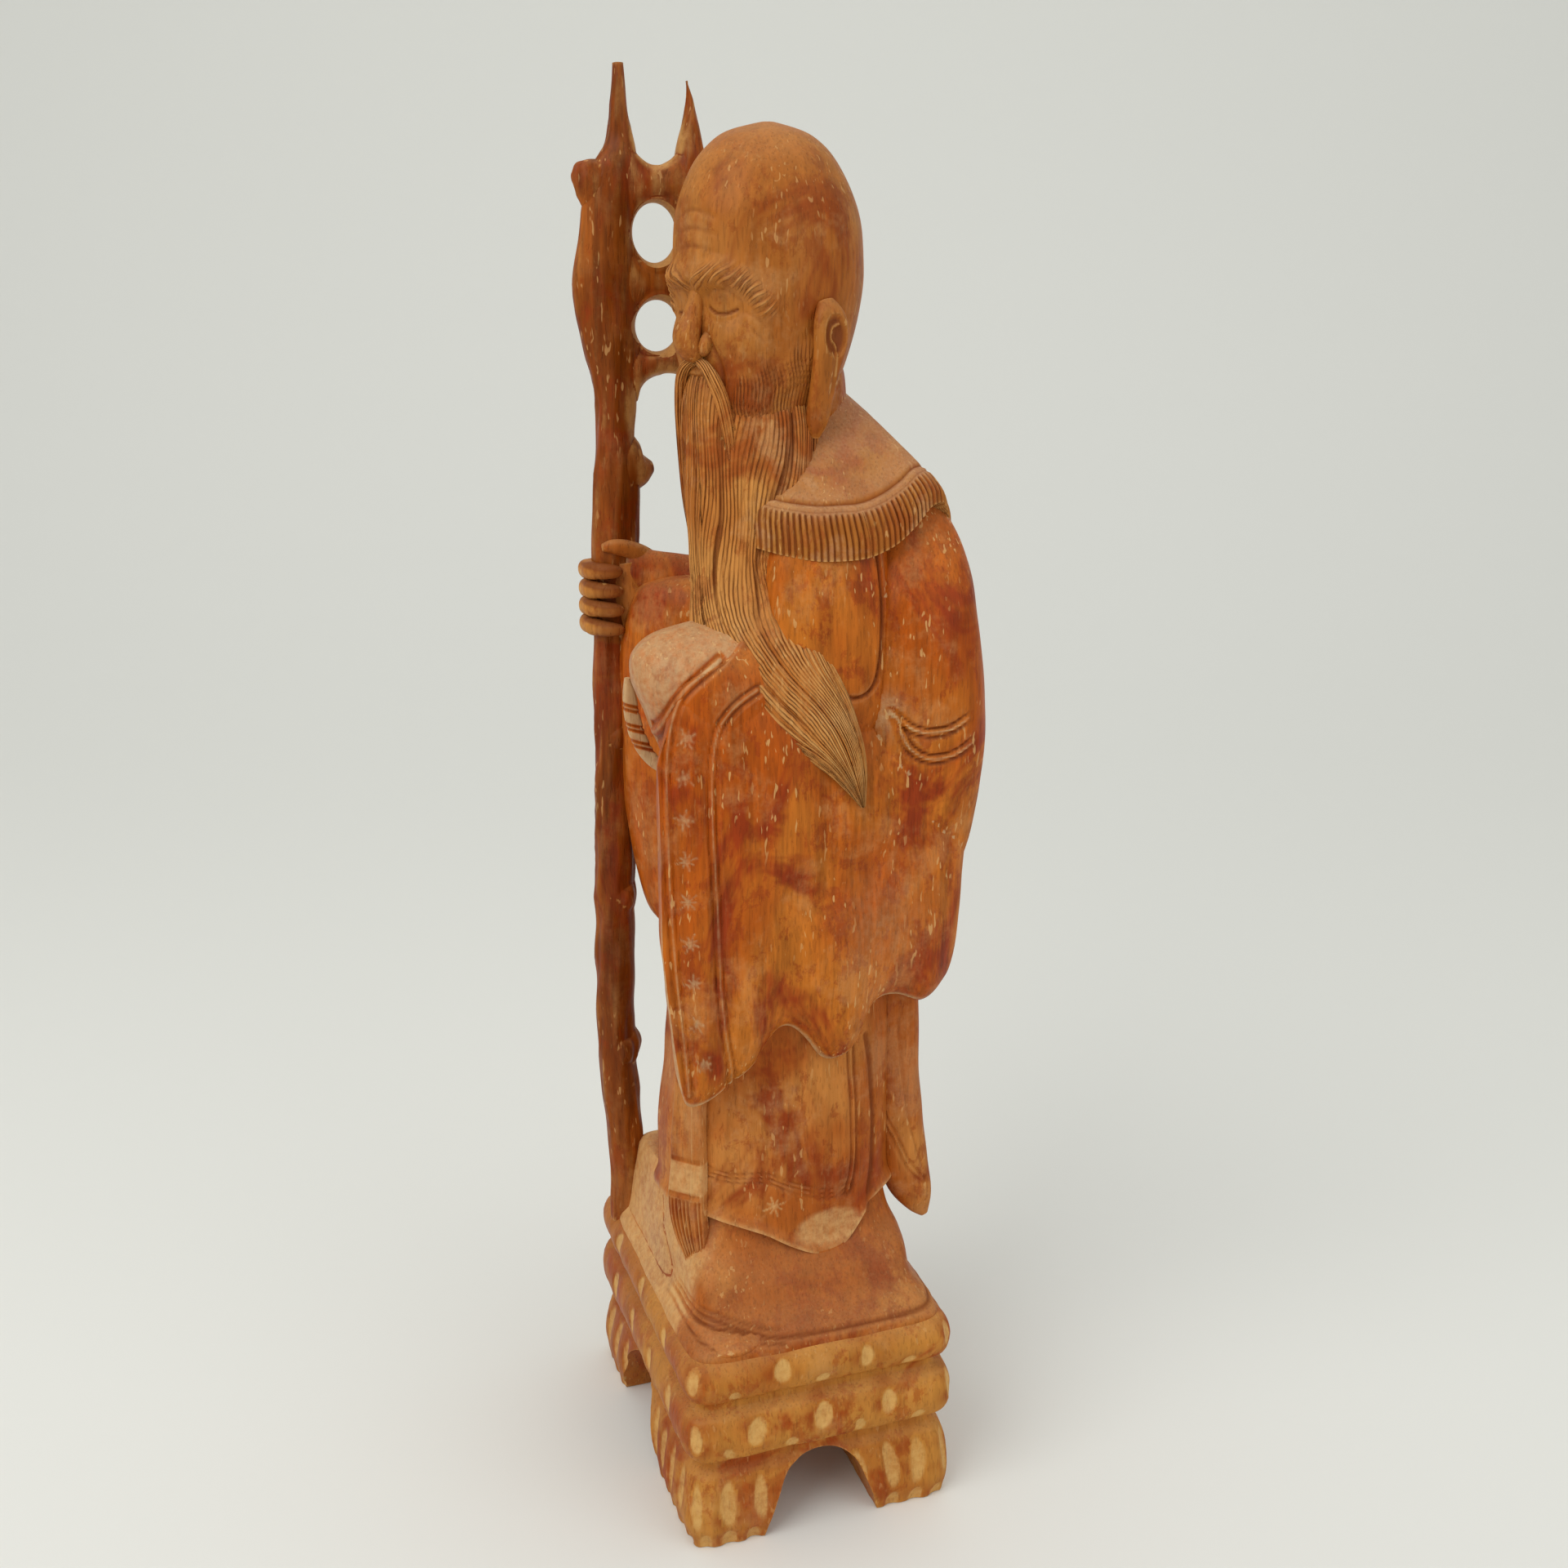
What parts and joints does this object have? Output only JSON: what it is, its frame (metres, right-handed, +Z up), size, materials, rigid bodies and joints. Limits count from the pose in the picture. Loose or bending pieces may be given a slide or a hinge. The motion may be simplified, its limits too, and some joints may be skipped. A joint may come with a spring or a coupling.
{
  "type": "carved wooden figure",
  "caption": "Standing old man carved in wood with a tall bald dome, long swept beard and wide-sleeved robe, gripping a knotted staff, on a footed square plinth.",
  "frame": {"origin": "middle of the whole carving's bounding box, on the floor under the plinth's feet", "axes": "+Z up along the figure, -Y the way the robe and plinth face, +X the figure's own left side"},
  "size_m": [0.1124, 0.1007, 0.4115],
  "materials": {
    "oiled_wood": "satin, hand-carved and oiled, duller and dusty on upward faces"
  },
  "bodies": {
    "root": {"shou_lao_carving": "oiled_wood"}
  },
  "joints": []
}
